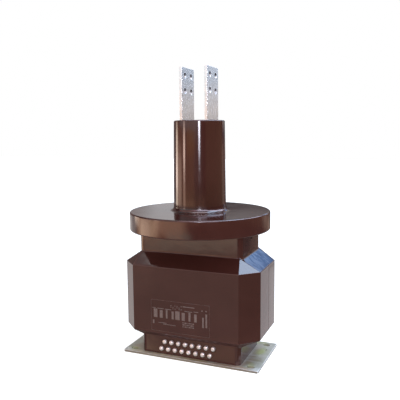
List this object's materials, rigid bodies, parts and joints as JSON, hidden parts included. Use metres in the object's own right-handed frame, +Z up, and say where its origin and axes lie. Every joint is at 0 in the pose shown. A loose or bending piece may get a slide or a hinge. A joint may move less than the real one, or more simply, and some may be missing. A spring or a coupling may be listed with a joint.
{
  "type": "indoor current transformer",
  "caption": "Cast-resin indoor current transformer: chamfered block on a slotted base plate, round flange, tall bushing with flat drilled primary bars, secondary terminals on the foot.",
  "frame": {"origin": "centre of the base plate's underside", "axes": "+Z up along the bushing, -Y out of the face with the secondary terminals, +X towards the end with the earthing hole"},
  "size_m": [0.387, 0.38, 0.772],
  "materials": {
    "resin": "glossy cast epoxy",
    "zinc_plate": "zinc plated, faintly yellow",
    "tinned_copper": "tinned, satin",
    "copper": "bare copper",
    "winding_copper": "enamelled wire",
    "core_steel": "wound silicon steel strip",
    "fastener_steel": "zinc plated",
    "nickel": "nickel plated",
    "brass": "turned",
    "pressboard": "pressboard",
    "lead_insulation": "insulated wire"
  },
  "bodies": {
    "root": {"base_plate": "zinc_plate", "cast_body": "resin", "primary_bar_p1": "tinned_copper", "primary_bar_p2": "tinned_copper", "primary_link": "copper", "link_washers": "fastener_steel", "link_nuts": "fastener_steel", "core_1": "core_steel", "core_2": "core_steel", "core_3": "core_steel", "core_4": "core_steel", "winding_1": "winding_copper", "winding_2": "winding_copper", "winding_3": "winding_copper", "winding_4": "winding_copper", "core_spacers": "pressboard", "secondary_leads": "lead_insulation", "terminal_inserts": "brass", "terminal_washers": "nickel", "terminal_spring_washers": "nickel", "terminal_screws": "nickel", "base_inserts": "brass", "base_screws": "fastener_steel", "side_inserts": "brass"}
  },
  "joints": []
}
